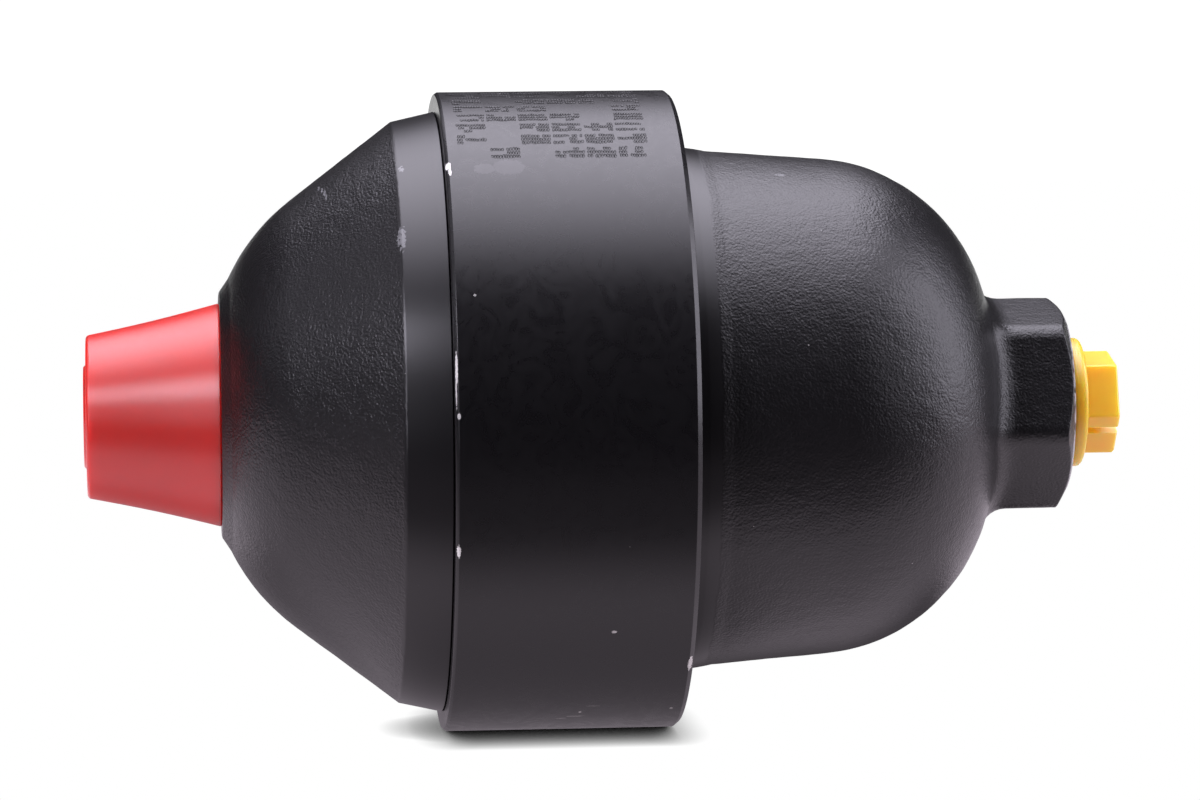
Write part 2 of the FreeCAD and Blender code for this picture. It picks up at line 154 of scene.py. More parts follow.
# Port plug
PLUG_NECK_RADIUS = 10.4 * MM
PLUG_NECK_LENGTH = 0.5 * MM
PLUG_FLANGE_RADIUS = 12 * MM
PLUG_FLANGE_THICKNESS = 2.85 * MM
PLUG_SHANK_RADIUS = 8.15 * MM
PLUG_SHANK_LENGTH = 11 * MM
PLUG_APOTHEM = 8.5 * MM
PLUG_TURN = math.radians(11.6)
PLUG_HEX_LENGTH = 6.2 * MM
PLUG_HEX_FACE_RADIUS = 9.3 * MM
PLUG_CHAMFER = math.radians(45)
PLUG_BORE = 6.5 * MM
PLUG_FLOOR = 2 * MM
SLOT_WIDTH = 1.6 * MM
SLOT_TURN = math.radians(33)
PLUG_ROUND = 0.8 * MM
PLUG_CORNER_ROUND = 0.5 * MM
PLUG_ROOT_ROUND = 0.3 * MM
PLUG_EDGE_ROUND = 0.12 * MM
PLUG_SLOT_ROUND = 0.1 * MM
PLUG_LEAST_CHAMFER = 0.3 * MM
PLUG_SEGMENTS = 360

# Uneven forging: wavelength and height of each noise, in mm
FLUID_SWELLS = ((16, 0.12), (6, 0.05))
FLUID_WRINKLES = ((1.6, 0.04),)
WRINKLE_STRETCH = 1.5
GAS_SWELLS = ((18, 0.1), (5, 0.04), (1.5, 0.03))
# Where it sets in beside the bands and ends at the port face and the gas shell's face
FLUID_BAND_FADE = (1.5 * MM, 5 * MM)
PORT_FACE_FADE = (3 * MM, 1 * MM)
GAS_BAND_FADE = (5 * MM, 1 * MM)
GAS_FACE_FADE = (1 * MM, 4 * MM)

# Camera, from the photograph's perspective
LENS = 156
CAMERA_TARGET = Vector((8.67, 0, 1.72)) * MM
CAMERA_DISTANCE = 964.7 * MM
CAMERA_YAW = math.radians(4.94)
CAMERA_PITCH = math.radians(-5)
CAMERA_ROLL = math.radians(-0.428)

# Peened dots on the nut: first column, spacing along the axis, first row and spacing by angle
PEEN_START = -19.1 * MM
PEEN_ALONG = 0.479 * MM
PEEN_LOW = math.radians(54.6)
PEEN_ANGLE = math.radians(1.05)
# Dots in a block and in the whole marking, along the axis and round it, and across one post
PEEN_BLOCK = (12.0, 4.0)
PEEN_TOTAL = (72.0, 48.0)
PEEN_POST = 3.0
PEEN_GAP = 1.5
# Shares of the bars, posts, whole blocks and single dots that are left out
PEEN_NO_BAR = 0.42
PEEN_NO_POST = 0.7
PEEN_NO_BLOCK = 0.14
PEEN_NO_DOT = 0.06

# Marks on the paint: place along the axis, half length, angle above the front, half height, strength
NUT_SMUDGES = (
    (-14.7, 1.9, 51.9, 1.3, 0.11),
    (-10.4, 2.8, 52.3, 2.0, 0.1),
)
NUT_CHIPS = (
    (-21.3, 0.22, 12.2, 3.0, 0.95),
    (-21.4, 0.13, 8.6, 3.0, 0.8),
    (-21.2, 0.5, 52.9, 1.0, 0.95),
    (-20.9, 0.3, 51.2, 1.1, 0.8),
    (-21.0, 0.3, 4.3, 0.5, 0.7),
    (-21.1, 0.35, -19.5, 1.2, 1.0),
    (20.95, 0.45, -45.7, 1.9, 0.75),
    (1.6, 1.7, -65.6, 0.25, 0.3),
    (-1.0, 1.0, -66.8, 0.2, 0.3),
    (4.4, 1.2, -60.2, 0.15, 0.2),
    (6.8, 0.5, -36.9, 0.35, 0.6),
    (-17.7, 0.25, 25.2, 0.25, 0.4),
    (2.3, 0.3, -63.2, 0.4, 0.5),
    (18.8, 0.3, -62.0, 0.3, 0.5),
)
SHELL_SCARS = (
    (-29.8, 0.7, 40.2, 2.5, 0.3),
    (-29.1, 0.5, 59.1, 0.8, 0.3),
    (-43.3, 0.2, 76.5, 1.6, 0.2),
    (-42.8, 0.2, 73.5, 1.6, 0.28),
    (-42.4, 0.18, 70.6, 1.6, 0.3),
    (-42.2, 0.16, 67.9, 1.5, 0.2),
    (40.5, 0.9, 69.7, 0.5, 0.2),
)

# Where the forged skin begins beside the two bands, and the small ridge beside the gas band
SKIN_LEFT = (-29.9 * MM, -30.5 * MM)
SKIN_RIGHT = (26 * MM, 26.8 * MM)
RIDGE = -30.1 * MM
RIDGE_REACH = 0.4 * MM
# Heights of the bumps in the paint on the nut and on the forged skin
NUT_RELIEF = 0.14 * MM
SKIN_RELIEF = 0.085 * MM

# Colours, linear. The paints and the steel are mixed between two
NUT_PAINT = ((0.0048, 0.0043, 0.0052, 1), (0.0062, 0.0057, 0.0066, 1))
SHELL_PAINT = ((0.0052, 0.0047, 0.0055, 1), (0.0068, 0.0062, 0.0071, 1))
STEEL = ((0.5, 0.51, 0.52, 1), (0.62, 0.63, 0.64, 1))
SMUDGE = (0.3, 0.29, 0.3, 1)
CHIP = (0.85, 0.83, 0.8, 1)
SCAR = (0.5, 0.5, 0.52, 1)
# Worn paint on the port face's edge, also standing in for the edge's painted highlight
WORN_RIM_AND_HIGHLIGHT = (0.4, 0.39, 0.4, 1)
DUST = (0.3, 0.29, 0.28, 1)
RED = (1.0, 0.018, 0.012, 1)
YELLOW = (1.0, 0.58, 0.035, 1)
ROOM = (0.02, 0.02, 0.02, 1)
# How far light goes inside the plastics, by colour, as shares of the depth
RED_REACH = (1.0, 0.25, 0.15)
YELLOW_REACH = (1.0, 0.6, 0.2)
PLASTIC_DEPTH = 6 * MM

# The overhead light, in metres: strips on an arc over the object, brightest in the middle
ARC_RADIUS = 0.6
ARC_WIDTH = 0.66
ARC_STRIPS = 12
ARC_MIDDLE = math.radians(98)
ARC_REACH = math.radians(50)
ARC_RADIANCE = 5.3
# Soft boxes round the object: name, place, size and radiance, in metres
SOFT_BOXES = (
    ("left_front", (-0.48, -0.47, 0.38), (0.37, 0.22), 9.5),
    ("left_top", (-0.52, 0.08, 0.58), (0.37, 0.3), 0.7),
    ("left_low", (-0.68, -0.73, 0.1), (0.3, 0.3), 4),
    ("left_end", (-1, 0, 0.5), (0.7, 0.4), 0.5),
    ("right_front", (0.55, -0.26, 0.54), (0.37, 0.14), 4),
    ("right_top", (0.55, 0, 0.6), (0.37, 0.3), 1.2),
    ("right_corner", (0.8, -0.6, 0.25), (0.5, 0.45), 1),
    ("right_end", (1, 0, 0.36), (0.7, 0.85), 3.4),
)
PANEL_COLOUR = (0.99, 0.952, 1.09)
TABLE_COLOUR = (1.08, 0.95, 1.08, 1)
# The stage, in metres: half width, near and far edge of the table and of its light, and backdrop
TABLE_HALF = 3
TABLE_NEAR = -8
TABLE_FAR = 2.18
# How far from the object the painted contact shadow on the table reaches
CONTACT_REACH = 6.5 * MM
BACKDROP_PLACE = 2.2
BACKDROP_FOOT = -0.02
BACKDROP_HEIGHT = 0.2
BACKDROP_GLOW = 1.1
LIGHT_HALF = 0.7
LIGHT_NEAR = -0.5
LIGHT_FAR = 0.9
LIGHT_DROP = 0.1 * MM


def make_camera():
    """The camera at the photograph's angle, found from the object's outline there."""
    forward = Vector((math.sin(CAMERA_YAW) * math.cos(CAMERA_PITCH),
                      math.cos(CAMERA_YAW) * math.cos(CAMERA_PITCH),
                      math.sin(CAMERA_PITCH)))
    level = Vector((math.cos(CAMERA_YAW), -math.sin(CAMERA_YAW), 0))
    upright = level.cross(forward)
    right = level * math.cos(CAMERA_ROLL) + upright * math.sin(CAMERA_ROLL)
    up = upright * math.cos(CAMERA_ROLL) - level * math.sin(CAMERA_ROLL)
    data = bpy.data.cameras.new("camera")
    data.lens = LENS
    data.sensor_width = 36
    data.clip_start = 0.01
    camera = bpy.data.objects.new("camera", data)
    turn = Matrix((right, up, -forward)).transposed().to_4x4()
    camera.matrix_world = Matrix.Translation(CAMERA_TARGET - forward * CAMERA_DISTANCE) @ turn
    bpy.context.scene.collection.objects.link(camera)
    bpy.context.scene.camera = camera


def arc(centre, radius, start, end, steps):
    """Points (x, r) on an arc, with angles turning from +X towards +r."""
    angles = np.linspace(start, end, steps + 1)
    return [(centre[0] + radius * math.cos(a), centre[1] + radius * math.sin(a)) for a in angles]


def rounded(corners, steps=3):
    """An outline of (x, r, rounding) corners, with an arc of that rounding at each one."""
    points = []
    count = len(corners)
    for i, (x, r, rounding) in enumerate(corners):
        here = Vector((x, r))
        if rounding == 0:
            points.append((x, r))
            continue
        before = (Vector(corners[i - 1][:2]) - here).normalized()
        after = (Vector(corners[(i + 1) % count][:2]) - here).normalized()
        half = before.angle(after) / 2
        reach = rounding / math.tan(half)
        centre = here + (before + after).normalized() * (rounding / math.sin(half))
        first = here + before * reach - centre
        last = here + after * reach - centre
        sweep = first.angle_signed(last)
        for step in range(steps + 1):
            turned = first.copy()
            turned.rotate(Matrix.Rotation(-sweep * step / steps, 2))
            points.append(tuple(centre + turned))
    return points


def split_long(points, spacing):
    """The outline with its long runs cut to the spacing."""
    result = []
    for i, point in enumerate(points):
        result.append(point)
        following = points[(i + 1) % len(points)]
        length = math.dist(point, following)
        for step in range(1, int(length / spacing) + 1):
            share = step / (int(length / spacing) + 1)
            result.append((point[0] + (following[0] - point[0]) * share,
                           point[1] + (following[1] - point[1]) * share))
    return result


def sweep_round(name, sections):
    """A closed surface through one outline of (x, r) points for each angle round the axis."""
    sections = np.asarray(sections, float)
    turns, points = sections.shape[:2]
    angles = np.arange(turns) * (2 * math.pi / turns)
    radii = sections[:, :, 1]
    places = np.stack([sections[:, :, 0],
                       radii * np.cos(angles)[:, None],
                       radii * np.sin(angles)[:, None]], axis=2).reshape(-1, 3)
    i, j = np.meshgrid(np.arange(turns), np.arange(points), indexing="ij")
    near, far = (i + 1) % turns, (j + 1) % points
    faces = np.stack([i * points + j, near * points + j, near * points + far, i * points + far], axis=2)
    mesh = bpy.data.meshes.new(name)
    mesh.from_pydata(places.tolist(), [], faces.reshape(-1, 4).tolist())
    work = bmesh.new()
    work.from_mesh(mesh)
    bmesh.ops.remove_doubles(work, verts=work.verts, dist=1e-7)
    bmesh.ops.dissolve_degenerate(work, edges=work.edges, dist=1e-7)
    bmesh.ops.recalc_face_normals(work, faces=work.faces)
    for face in work.faces:
        face.smooth = True
    work.to_mesh(mesh)
    work.free()
    piece = bpy.data.objects.new(name, mesh)
    bpy.context.scene.collection.objects.link(piece)
    return piece


def turned(name, outline, segments=SEGMENTS):
    """A closed outline turned once round the axis."""
    return sweep_round(name, np.repeat(np.asarray(outline, float)[None], segments, axis=0))


def stand_in(piece, node, material):
    """The piece takes the node's place on the housing, with a finish."""
    weighted = piece.modifiers.new("even_normals", "WEIGHTED_NORMAL")
    weighted.keep_sharp = True
    piece.data.materials.append(material)
    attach(piece, "housing")
    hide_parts(node)


def displace(piece, depth_at):
    """Moves each vertex along its normal by depth_at(its place)."""
    mesh = piece.data
    count = len(mesh.vertices)
    places = np.empty(count * 3)
    normals = np.empty(count * 3)
    mesh.vertices.foreach_get("co", places)
    mesh.vertex_normals.foreach_get("vector", normals)
    places = places.reshape(-1, 3)
    normals = normals.reshape(-1, 3)
    depths = np.array([depth_at(Vector(p)) for p in places])
    mesh.vertices.foreach_set("co", (places + normals * depths[:, None]).ravel())
    mesh.update()


def step_up(value, low, high):
    """0 below low, 1 above high, smooth between."""
    share = min(max((value - low) / (high - low), 0), 1)
    return share * share * (3 - 2 * share)


def swells(place, waves):
    """The height of a few noises together, each with its wavelength and height in mm."""
    return sum(noise.noise(place / (length * MM)) * height for length, height in waves) * MM


# Shader helpers

def node(tree, kind, inputs=None, **settings):
    """A shader node with its settings, and its inputs set or linked."""
    made = tree.nodes.new(kind)
    for key, value in settings.items():
        setattr(made, key, value)
    for key, value in (inputs or {}).items():
        if isinstance(value, bpy.types.NodeSocket):
            tree.links.new(value, made.inputs[key])
        else:
            made.inputs[key].default_value = value
    return made


def calc(tree, operation, first, second=0.0):
    """One step of arithmetic."""
    return node(tree, "ShaderNodeMath", {0: first, 1: second}, operation=operation).outputs[0]


def fade(tree, value, low, high, start=0.0, end=1.0):
    """The value taken from low..high to start..end, smoothly."""
    made = node(tree, "ShaderNodeMapRange", {"Value": value, "From Min": low, "From Max": high,
                                             "To Min": start, "To Max": end},
                interpolation_type="SMOOTHSTEP")
    return made.outputs["Result"]


def mottle(tree, where, size, detail=2.0, rough=0.5):
    """Soft noise with lumps of about that size."""
    made = node(tree, "ShaderNodeTexNoise", {"Vector": where, "Scale": 1 / size, "Detail": detail,
                                             "Roughness": rough})
    return made.outputs["Fac"]


def blended(tree, share, first, second):
    """Two colours mixed by a share."""
    made = node(tree, "ShaderNodeMix", {"Factor": share}, data_type="RGBA")
    for index, value in ((6, first), (7, second)):
        if isinstance(value, bpy.types.NodeSocket):
            tree.links.new(value, made.inputs[index])
        else:
            made.inputs[index].default_value = value
    return made.outputs[2]


def bumped(tree, height, distance):
    """The surface's normal with a bump, whose height of 1 is that distance in metres."""
    inputs = {"Height": height, "Distance": distance, "Strength": 1.0}
    return node(tree, "ShaderNodeBump", inputs).outputs["Normal"]


def new_material(name):
    """A material with its tree, its shader and the object's own coordinates."""
    made = bpy.data.materials.new(name)
    made.use_nodes = True
    tree = made.node_tree
    shader = tree.nodes["Principled BSDF"]
    where = node(tree, "ShaderNodeTexCoord").outputs["Object"]
    return made, tree, shader, where


def dust(tree, where, size, share, largest):
    """Round specks of up to that radius in some of the cells of that size."""
    cells = node(tree, "ShaderNodeTexVoronoi", {"Vector": where, "Scale": 1 / size, "Randomness": 1.0})
    parts = node(tree, "ShaderNodeSeparateColor", {0: cells.outputs["Color"]})
    chosen = calc(tree, "LESS_THAN", parts.outputs[0], share)
    radius = calc(tree, "MULTIPLY", parts.outputs[1], largest / size)
    inside = calc(tree, "SUBTRACT", radius, cells.outputs["Distance"])
    return calc(tree, "MULTIPLY", chosen, fade(tree, inside, -0.1 * largest / size, 0.2 * largest / size))


def from_axis(tree, where):
    """The distance from the axis."""
    parts = node(tree, "ShaderNodeSeparateXYZ", {0: where})
    across, up = parts.outputs["Y"], parts.outputs["Z"]
    return calc(tree, "SQRT", calc(tree, "ADD", calc(tree, "MULTIPLY", across, across),
                                   calc(tree, "MULTIPLY", up, up)))


def round_the_axis(tree, where):
    """Place along the axis and angle above the front, which is the camera's side."""
    parts = node(tree, "ShaderNodeSeparateXYZ", {0: where})
    front = calc(tree, "MULTIPLY", parts.outputs["Y"], -1.0)
    return parts.outputs["X"], calc(tree, "ARCTAN2", parts.outputs["Z"], front)


def patches(tree, where, marks, ragged=0.6):
    """Ragged spots, the strongest one at each place, times its strength.

    A mark is its place along the axis and half length in mm, its angle above the front and
    half height in degrees, and its strength.
    """
    along, angle = round_the_axis(tree, where)
    edge = calc(tree, "MULTIPLY", calc(tree, "SUBTRACT", mottle(tree, where, 0.5 * MM, 3), 0.5), ragged * 4)
    total = None
    for place, length, turn, height, strength in marks:
        across = calc(tree, "DIVIDE", calc(tree, "SUBTRACT", along, place * MM), length * MM)
        up = calc(tree, "DIVIDE", calc(tree, "SUBTRACT", angle, math.radians(turn)), math.radians(height))
        reach = calc(tree, "ADD", calc(tree, "MULTIPLY", across, across), calc(tree, "MULTIPLY", up, up))
        spot = fade(tree, calc(tree, "ADD", reach, edge), 1.25, 0.75, 0.0, strength)
        total = spot if total is None else calc(tree, "MAXIMUM", total, spot)
    return total


def peening(tree, where):
    """Small dots in blocks of random bars and posts, as a marking machine leaves them."""
    along, angle = round_the_axis(tree, where)
    wobble = calc(tree, "SUBTRACT", mottle(tree, where, 1.6 * MM, 2), 0.5)
    u = calc(tree, "DIVIDE", calc(tree, "SUBTRACT", along, PEEN_START), PEEN_ALONG)
    v = calc(tree, "DIVIDE", calc(tree, "SUBTRACT", angle, PEEN_LOW), PEEN_ANGLE)
    u = calc(tree, "ADD", u, calc(tree, "MULTIPLY", wobble, 1.3))
    v = calc(tree, "ADD", v, calc(tree, "MULTIPLY", wobble, 0.9))
    column, row = calc(tree, "FLOOR", u), calc(tree, "FLOOR", v)
    block_u, block_v = (calc(tree, "FLOOR", calc(tree, "DIVIDE", value, size))
                        for value, size in zip((u, v), PEEN_BLOCK))

    def chance(first, second, seed):
        spot = node(tree, "ShaderNodeCombineXYZ", {0: first, 1: second, 2: seed}).outputs[0]
        made = node(tree, "ShaderNodeTexWhiteNoise", {"Vector": spot}, noise_dimensions="3D")
        return made.outputs["Value"]

    bar = calc(tree, "GREATER_THAN", chance(block_u, row, 0.37), PEEN_NO_BAR)
    place = calc(tree, "FLOOR", calc(tree, "DIVIDE", u, PEEN_POST))
    post = calc(tree, "GREATER_THAN", chance(place, block_v, 5.61), PEEN_NO_POST)
    lit = calc(tree, "MAXIMUM", bar, post)
    for value, size in zip((column, row), PEEN_BLOCK):
        rest = calc(tree, "FLOORED_MODULO", value, size)
        lit = calc(tree, "MULTIPLY", lit, calc(tree, "LESS_THAN", rest, size - PEEN_GAP))
    for drawn, left_out in ((chance(block_u, block_v, 9.13), PEEN_NO_BLOCK),
                            (chance(column, row, 2.71), PEEN_NO_DOT)):
        lit = calc(tree, "MULTIPLY", lit, calc(tree, "GREATER_THAN", drawn, left_out))
    for value, total in zip((u, v), PEEN_TOTAL):
        lit = calc(tree, "MULTIPLY", lit, calc(tree, "GREATER_THAN", value, 0.0))
        lit = calc(tree, "MULTIPLY", lit, calc(tree, "LESS_THAN", value, total))
    off_u = calc(tree, "SUBTRACT", calc(tree, "FRACT", u), 0.5)
    off_v = calc(tree, "SUBTRACT", calc(tree, "FRACT", v), 0.5)
    away = calc(tree, "SQRT", calc(tree, "ADD", calc(tree, "MULTIPLY", off_u, off_u),
                                   calc(tree, "MULTIPLY", off_v, off_v)))
    return calc(tree, "MULTIPLY", lit, fade(tree, away, 0.6, 0.15))


def make_smooth_paint():
    """Satin black paint on the turned nut: orange peel, smears, peened dots, chips and dust."""
    made, tree, shader, where = new_material("smooth_black_paint")
    peel = mottle(tree, where, 0.7 * MM, 2)
    swirl = node(tree, "ShaderNodeTexNoise", {"Vector": where, "Scale": 0.16 / MM, "Detail": 3.0,
                                              "Roughness": 0.5, "Distortion": 3.0}).outputs["Fac"]
    line = calc(tree, "ABSOLUTE", calc(tree, "SUBTRACT", swirl, 0.5))
    wipes = calc(tree, "MULTIPLY", fade(tree, line, 0.009, 0.0),
                 fade(tree, mottle(tree, where, 14 * MM, 2), 0.45, 0.6))
    dots = peening(tree, where)
    outside = fade(tree, from_axis(tree, where), NUT_RADIUS - 1.1 * MM, NUT_RADIUS - 0.8 * MM)
    smudge = calc(tree, "MULTIPLY", outside, patches(tree, where, NUT_SMUDGES, 0.3))
    chips = calc(tree, "MULTIPLY", outside, patches(tree, where, NUT_CHIPS))
    specks = calc(tree, "MAXIMUM", dust(tree, where, 2.2 * MM, 0.1, 0.11 * MM),
                  dust(tree, where, 5 * MM, 0.1, 0.22 * MM))
    colour = blended(tree, swirl, *NUT_PAINT)
    colour = blended(tree, smudge, colour, SMUDGE)
    colour = blended(tree, specks, colour, DUST)
    colour = blended(tree, chips, colour, CHIP)
    tree.links.new(colour, shader.inputs["Base Color"])
    rough = fade(tree, swirl, 0.35, 0.65, 0.27, 0.32)
    worn = calc(tree, "MAXIMUM", chips, smudge)
    worn = calc(tree, "MAXIMUM", worn, calc(tree, "MULTIPLY", wipes, 0.16))
    rough = calc(tree, "ADD", rough, calc(tree, "MULTIPLY", worn, 0.3))
    tree.links.new(rough, shader.inputs["Roughness"])
    sunk = calc(tree, "MAXIMUM", dots, chips)
    height = calc(tree, "SUBTRACT", calc(tree, "MULTIPLY", peel, 0.03), sunk)
    tree.links.new(bumped(tree, height, NUT_RELIEF), shader.inputs["Normal"])
    return made


def make_forged_paint():
    """Satin black paint over a pebbly forged skin, smooth where the bands are turned."""
    made, tree, shader, where = new_material("forged_black_paint")
    along = round_the_axis(tree, where)[0]
    ragged = calc(tree, "MULTIPLY", calc(tree, "SUBTRACT", mottle(tree, where, 4 * MM, 4), 0.5), 1.2 * MM)
    place = calc(tree, "ADD", along, ragged)
    forged = calc(tree, "MAXIMUM", fade(tree, place, *SKIN_LEFT), fade(tree, place, *SKIN_RIGHT))
    ridge = calc(tree, "MULTIPLY", fade(tree, place, RIDGE - RIDGE_REACH, RIDGE),
                 fade(tree, place, RIDGE + RIDGE_REACH, RIDGE))
    wander = node(tree, "ShaderNodeTexNoise", {"Vector": where, "Scale": 0.25 / MM, "Detail": 1.0})
    shift = node(tree, "ShaderNodeVectorMath", {0: wander.outputs["Color"], 1: (0.5 * MM,) * 3},
                 operation="MULTIPLY").outputs[0]
    bent = node(tree, "ShaderNodeVectorMath", {0: where, 1: shift}, operation="ADD").outputs[0]
    cells = node(tree, "ShaderNodeTexVoronoi", {"Vector": bent, "Scale": 2.0 / MM, "Smoothness": 0.5,
                                                "Randomness": 1.0}, feature="SMOOTH_F1")
    hollows = calc(tree, "MULTIPLY", cells.outputs["Distance"], 0.7)
    pebbles = calc(tree, "SUBTRACT", mottle(tree, bent, 0.45 * MM, 3), hollows)
    grain = mottle(tree, where, 1.7 * MM, 1)
    pits = node(tree, "ShaderNodeTexVoronoi", {"Vector": where, "Scale": 0.16 / MM, "Randomness": 1.0})
    pit = fade(tree, pits.outputs["Distance"], 0.16, 0.05)
    lumps = calc(tree, "ADD", pebbles, calc(tree, "MULTIPLY", grain, 0.6))
    lumps = calc(tree, "SUBTRACT", lumps, calc(tree, "MULTIPLY", pit, 0.25))
    height = calc(tree, "MULTIPLY", lumps, fade(tree, forged, 0.0, 1.0, 0.02, 1.0))
    height = calc(tree, "ADD", height, calc(tree, "MULTIPLY", ridge, 0.35))
    scars = patches(tree, where, SHELL_SCARS, 1.4)
    specks = calc(tree, "MAXIMUM", dust(tree, where, 2 * MM, 0.12, 0.12 * MM),
                  dust(tree, where, 5 * MM, 0.1, 0.2 * MM))
    cloud = mottle(tree, where, 12 * MM, 3)
    colour = blended(tree, cloud, *SHELL_PAINT)
    colour = blended(tree, specks, colour, DUST)
    colour = blended(tree, scars, colour, SCAR)
    # A lighter ring of worn paint on the port face's outer edge, which also serves as a painted highlight
    # along that edge
    rim = calc(tree, "MULTIPLY", fade(tree, along, 94.5 * MM, 94.8 * MM),
               fade(tree, from_axis(tree, where), HEX_FACE_RADIUS - 0.7 * MM, HEX_FACE_RADIUS - 0.4 * MM))
    worn = calc(tree, "MULTIPLY", rim, fade(tree, mottle(tree, where, 1.5 * MM, 3), 0.35, 0.55))
    colour = blended(tree, worn, colour, WORN_RIM_AND_HIGHLIGHT)
    tree.links.new(colour, shader.inputs["Base Color"])
    tree.links.new(fade(tree, forged, 0.0, 1.0, 0.29, 0.33), shader.inputs["Roughness"])
    tree.links.new(bumped(tree, height, SKIN_RELIEF), shader.inputs["Normal"])
    return made


def make_plastic(name, colour, reach, rough):
    """Soft moulded polyethylene with a faint skin."""
    made, tree, shader, where = new_material(name)
    skin = mottle(tree, where, 0.5 * MM, 3)
    cloud = mottle(tree, where, 9 * MM, 2)
    deep = tuple(c * 0.93 for c in colour[:3]) + (1,)
    tree.links.new(blended(tree, cloud, deep, colour), shader.inputs["Base Color"])
    tree.links.new(fade(tree, skin, 0.3, 0.7, rough - 0.03, rough + 0.03), shader.inputs["Roughness"])
    shader.inputs["Subsurface Weight"].default_value = 1.0
    shader.inputs["Subsurface Radius"].default_value = reach
    shader.inputs["Subsurface Scale"].default_value = PLASTIC_DEPTH
    shader.inputs["Specular IOR Level"].default_value = 0.8
    tree.links.new(bumped(tree, skin, 0.008 * MM), shader.inputs["Normal"])
    return made


def make_steel():
    """Turned steel with fine rings."""
    made, tree, shader, where = new_material("bare_steel")
    drawn = node(tree, "ShaderNodeMapping", {"Vector": where, "Scale": (1, 0.02, 0.02)}).outputs[0]
    rings = mottle(tree, drawn, 0.25 * MM)
    tree.links.new(blended(tree, rings, *STEEL), shader.inputs["Base Color"])
    tree.links.new(fade(tree, rings, 0.2, 0.8, 0.22, 0.38), shader.inputs["Roughness"])
    shader.inputs["Metallic"].default_value = 1.0
    tree.links.new(bumped(tree, rings, 0.01 * MM), shader.inputs["Normal"])
    return made


def make_rubber(name, shade):
    """Black moulded rubber with a dull, slightly dusty skin."""
    made, tree, shader, where = new_material(name)
    cloud = mottle(tree, where, 5 * MM, 4)
    light = (shade * 1.5, shade * 1.5, shade * 1.5, 1)
    tree.links.new(blended(tree, cloud, (shade, shade, shade, 1), light), shader.inputs["Base Color"])
    tree.links.new(fade(tree, cloud, 0.3, 0.7, 0.55, 0.7), shader.inputs["Roughness"])
    tree.links.new(bumped(tree, mottle(tree, where, 0.4 * MM, 3), 0.02 * MM), shader.inputs["Normal"])
    return made


def make_union_nut(material):
    """The smooth ring, with its chamfered and slightly rounded edges."""
    outline = rounded([
        (-NUT_HALF, NUT_BORE + NUT_BORE_CHAMFER, EDGE_ROUND),
        (-NUT_HALF, NUT_RADIUS - NUT_LEFT_CHAMFER[1], NUT_EDGE_ROUND),
        (-NUT_HALF + NUT_LEFT_CHAMFER[0], NUT_RADIUS, NUT_EDGE_ROUND),
        (NUT_HALF - NUT_RIGHT_CHAMFER[0], NUT_RADIUS, NUT_EDGE_ROUND),
        (NUT_HALF, NUT_RADIUS - NUT_RIGHT_CHAMFER[1], NUT_EDGE_ROUND),
        (NUT_HALF, LIP_BORE + NUT_BORE_CHAMFER, EDGE_ROUND),
        (NUT_HALF - NUT_BORE_CHAMFER, LIP_BORE, EDGE_ROUND),
        (LIP_FACE, LIP_BORE, 0),
        (LIP_FACE, NUT_BORE + NUT_GROOVE_DEPTH, 0),
        (LIP_FACE - NUT_GROOVE_LENGTH, NUT_BORE + NUT_GROOVE_DEPTH, 0),
        (LIP_FACE - NUT_GROOVE_LENGTH - NUT_GROOVE_DEPTH, NUT_BORE, 0),
        (-NUT_HALF + NUT_BORE_CHAMFER, NUT_BORE, 0),
    ])
    ring = turned("nut_ring", split_long(outline, 4 * MM), NUT_SEGMENTS)
    stand_in(ring, "union_nut", material)


def hex_radius(angle, apothem, corner_round):
    """Radius of a hexagon with rounded corners, its first corner at angle 0."""
    off = (angle + math.pi / 6) % (math.pi / 3) - math.pi / 6
    inner = apothem - corner_round
    tangent = math.pi / 6 - math.atan2(inner * math.tan(math.pi / 6), apothem)
    if abs(off) >= tangent:
        return apothem / math.cos(math.pi / 6 - abs(off))
    centre = inner / math.cos(math.pi / 6)
    return centre * math.cos(off) + math.sqrt(corner_round ** 2 - (centre * math.sin(off)) ** 2)


